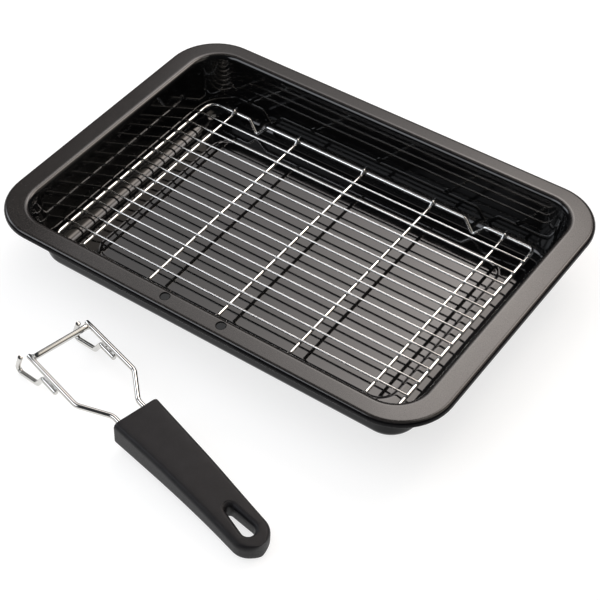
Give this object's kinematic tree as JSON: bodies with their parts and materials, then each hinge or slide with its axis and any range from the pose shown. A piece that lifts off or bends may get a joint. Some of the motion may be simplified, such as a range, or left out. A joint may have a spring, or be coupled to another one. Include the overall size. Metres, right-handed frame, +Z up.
{
  "type": "grill tray",
  "caption": "Black enamelled oven grill pan with a wide rolled rim, a lift-out chromed wire rack standing on V feet, and a detachable wire handle with a moulded grip.",
  "frame": {"origin": "centre of the pan's footprint on the surface it stands on", "axes": "+Z up; +X along the pan's long side; +Y from the rim side with the handle holes to the opposite side"},
  "size_m": [0.382, 0.3821, 0.0525],
  "materials": {
    "enamel": "gloss vitreous enamel on pressed steel",
    "chrome_wire": "bright chrome plate",
    "grip": "satin moulded phenolic"
  },
  "bodies": {
    "pan": {"pan": "enamel"},
    "rack": {"rack_frame": "chrome_wire", "rack_cross_1": "chrome_wire", "rack_cross_2": "chrome_wire", "rack_cross_3": "chrome_wire", "rack_cross_4": "chrome_wire", "rack_cross_5": "chrome_wire", "rack_wire_1": "chrome_wire", "rack_wire_2": "chrome_wire", "rack_wire_3": "chrome_wire", "rack_wire_4": "chrome_wire", "rack_wire_5": "chrome_wire", "rack_wire_6": "chrome_wire", "rack_wire_7": "chrome_wire", "rack_wire_8": "chrome_wire", "rack_wire_9": "chrome_wire", "rack_wire_10": "chrome_wire", "rack_wire_11": "chrome_wire", "rack_wire_12": "chrome_wire"},
    "handle": {"handle_arm_left": "chrome_wire", "handle_arm_right": "chrome_wire", "handle_crossbar": "chrome_wire", "handle_hook_left": "chrome_wire", "handle_hook_right": "chrome_wire", "handle_grip": "grip"}
  },
  "joints": [
    {"name": "rack_lift", "type": "slide", "parent": "pan", "child": "rack", "axis": [0, 0, 1], "range_m": [0, 0.09]},
    {"name": "handle_lift", "type": "slide", "parent": "pan", "child": "handle", "axis": [0, 0, 1], "range_m": [0, 0.12]}
  ]
}
